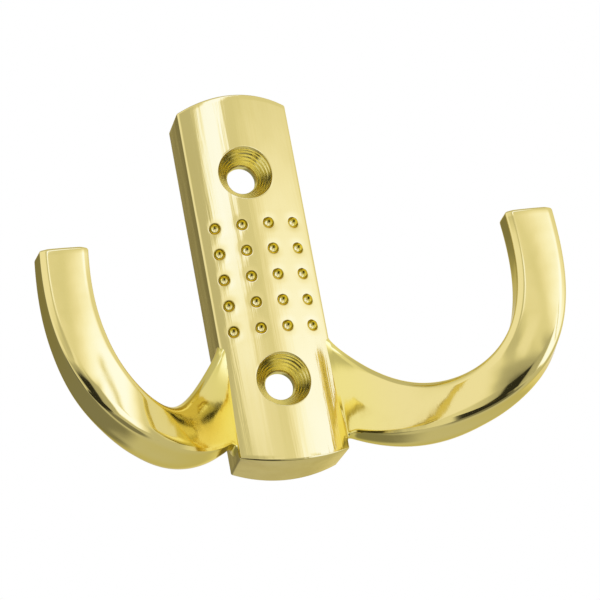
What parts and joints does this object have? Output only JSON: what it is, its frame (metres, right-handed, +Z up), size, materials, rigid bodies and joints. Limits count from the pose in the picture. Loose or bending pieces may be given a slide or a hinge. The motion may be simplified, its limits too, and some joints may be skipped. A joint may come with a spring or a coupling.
{
  "type": "double robe hook",
  "caption": "Cast brass double robe hook: narrow screw-on wall plate with a dimpled, gently curved front and two upturned arms.",
  "frame": {"origin": "on the wall, midway between the two screw holes", "axes": "+Z up, +X to the right seen from the room, +Y into the wall"},
  "size_m": [0.0754, 0.0302, 0.0577],
  "materials": {
    "polished_brass": "polished and lacquered pale gold, mirror bright"
  },
  "bodies": {
    "root": {"robe_hook": "polished_brass"}
  },
  "joints": []
}
